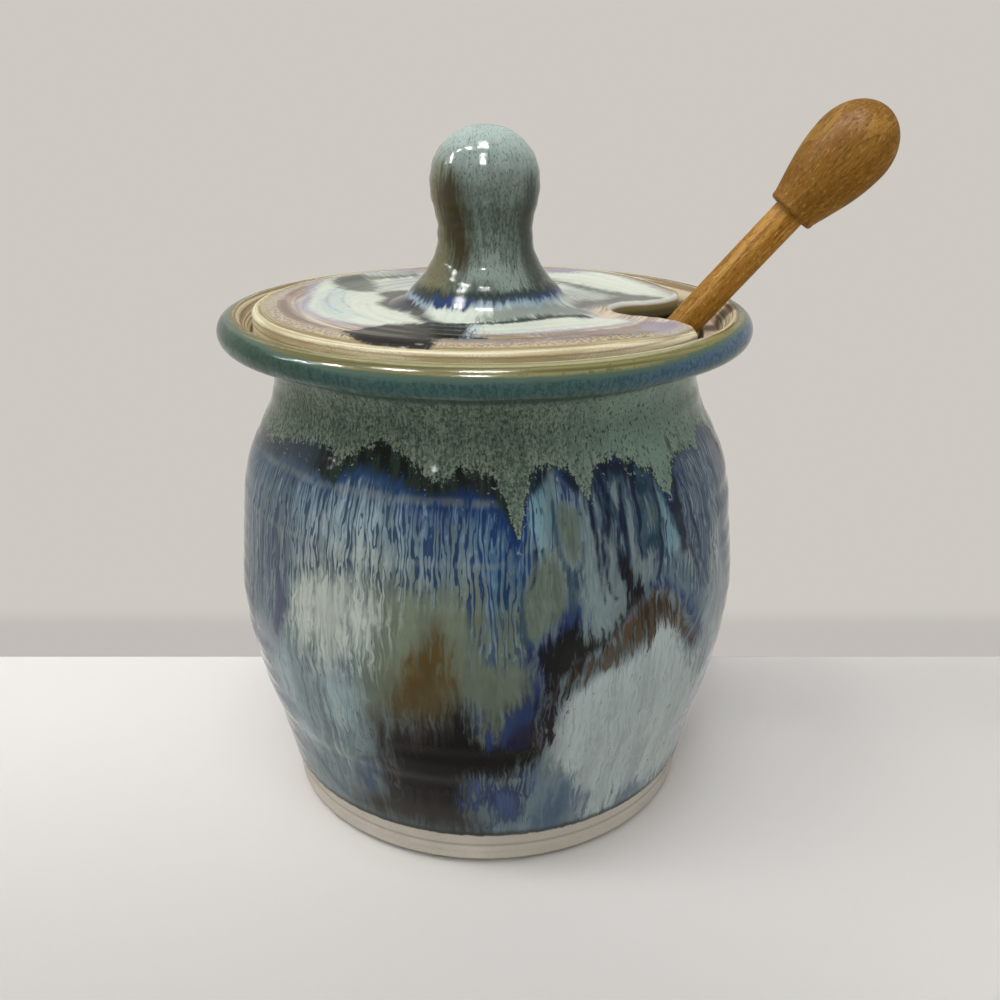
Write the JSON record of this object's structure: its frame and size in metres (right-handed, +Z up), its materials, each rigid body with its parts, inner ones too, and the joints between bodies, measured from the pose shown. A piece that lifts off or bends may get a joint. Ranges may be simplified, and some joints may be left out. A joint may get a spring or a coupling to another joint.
{
  "type": "honey pot",
  "caption": "Round stoneware pot with a flared rim, a slotted lift-off lid with a tall knob, and a wooden honey dipper that leans out of the slot.",
  "frame": {"origin": "centre of the flat foot, on the surface that the pot stands on", "axes": "+Z up along the pot's axis, +X towards the slot in the lid and the way the dipper leans, +Y to the left when facing the slot from the knob"},
  "size_m": [0.1287, 0.105, 0.1408],
  "materials": {
    "pot_glaze": "gloss, streaked blue and celadon",
    "lid_glaze": "gloss, pale celadon with dark swirls",
    "knob_glaze": "gloss, grey-green",
    "dipper_wood": "oiled beech"
  },
  "bodies": {
    "pot": {"pot_body": "pot_glaze"},
    "lid": {"lid_plate": "lid_glaze", "lid_knob": "knob_glaze"},
    "dipper": {"dipper_head": "dipper_wood", "dipper_shaft": "dipper_wood", "dipper_grip": "dipper_wood"}
  },
  "joints": [
    {"name": "lid_lift", "type": "slide", "parent": "pot", "child": "lid", "axis": [0, 0, 1], "range_m": [0, 0.1]},
    {"name": "dipper_draw", "type": "slide", "parent": "pot", "child": "dipper", "axis": [0.6496, 0, 0.7603], "range_m": [0, 0.062]}
  ]
}
